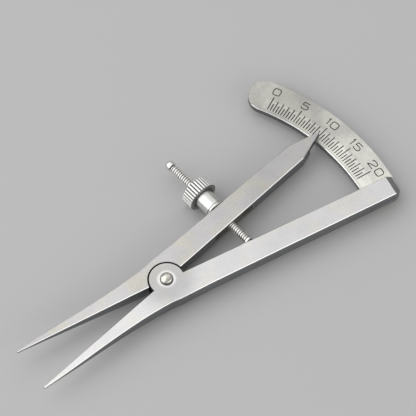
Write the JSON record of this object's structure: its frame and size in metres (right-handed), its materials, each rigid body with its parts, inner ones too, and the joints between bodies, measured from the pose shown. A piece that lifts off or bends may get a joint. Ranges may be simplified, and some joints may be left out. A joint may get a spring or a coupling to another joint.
{
  "type": "dental caliper",
  "caption": "Steel dental caliper: two pivoted arms with fine tips, an engraved arc scale and a screw with a knurled thumb nut that sets the opening.",
  "frame": {"origin": "on the pivot's axis, in the plane of the arms' undersides", "axes": "+X along the scale arm towards the scale, +Y towards the pointer arm, +Z towards the engraved side"},
  "size_m": [0.0939, 0.0475, 0.0075],
  "materials": {
    "scale_arm_steel": "satin stainless steel with finely broken, brighter edges",
    "scale_plate_steel": "satin stainless steel with black-filled engraving",
    "rivet_steel": "polished domed head",
    "swivel_pin_steel": "ground pin, flush with the arm's underside",
    "pointer_arm_steel": "satin stainless steel with finely broken, brighter edges",
    "screw_steel": "cut thread, bright",
    "end_cap_steel": "polished dome",
    "washer_steel": "polished",
    "thumb_nut_steel": "polished sleeve and straight-knurled ring"
  },
  "bodies": {
    "scale_side": {"scale_arm": "scale_arm_steel", "scale_plate": "scale_plate_steel", "pivot_rivet": "rivet_steel", "swivel_pin": "swivel_pin_steel"},
    "pointer_side": {"pointer_arm": "pointer_arm_steel"},
    "screw": {"adjusting_screw": "screw_steel", "screw_end_cap": "end_cap_steel"},
    "nut_carrier": {"nut_washer": "washer_steel"},
    "nut": {"thumb_nut": "thumb_nut_steel"}
  },
  "joints": [
    {"name": "arm_pivot", "type": "hinge", "parent": "scale_side", "child": "pointer_side", "pos_m": [0, 0, 0], "axis": [0, 0, 1], "range_deg": [-16.05, 15.75]},
    {"name": "screw_swivel", "type": "hinge", "parent": "scale_side", "child": "screw", "pos_m": [0.02165, -0.00265, 0.00175], "axis": [0, 0, 1], "range_deg": [-16.05, 15.75]},
    {"name": "nut_travel", "type": "slide", "parent": "screw", "child": "nut_carrier", "axis": [-0.253, 0.9675, 0], "range_m": [-0.00558, 0.00548]},
    {"name": "nut_spin", "type": "hinge", "parent": "nut_carrier", "child": "nut", "pos_m": [0.02165, -0.00265, 0.00175], "axis": [-0.253, 0.9675, 0], "range_deg": [-3435.7, 3369.8]}
  ],
  "couplings": [
    {"joint": "screw_swivel", "follows": "arm_pivot", "ratio": 1},
    {"joint": "nut_travel", "follows": "arm_pivot", "m_per_rad": 0.019924},
    {"joint": "nut_spin", "follows": "arm_pivot", "ratio": 214}
  ]
}
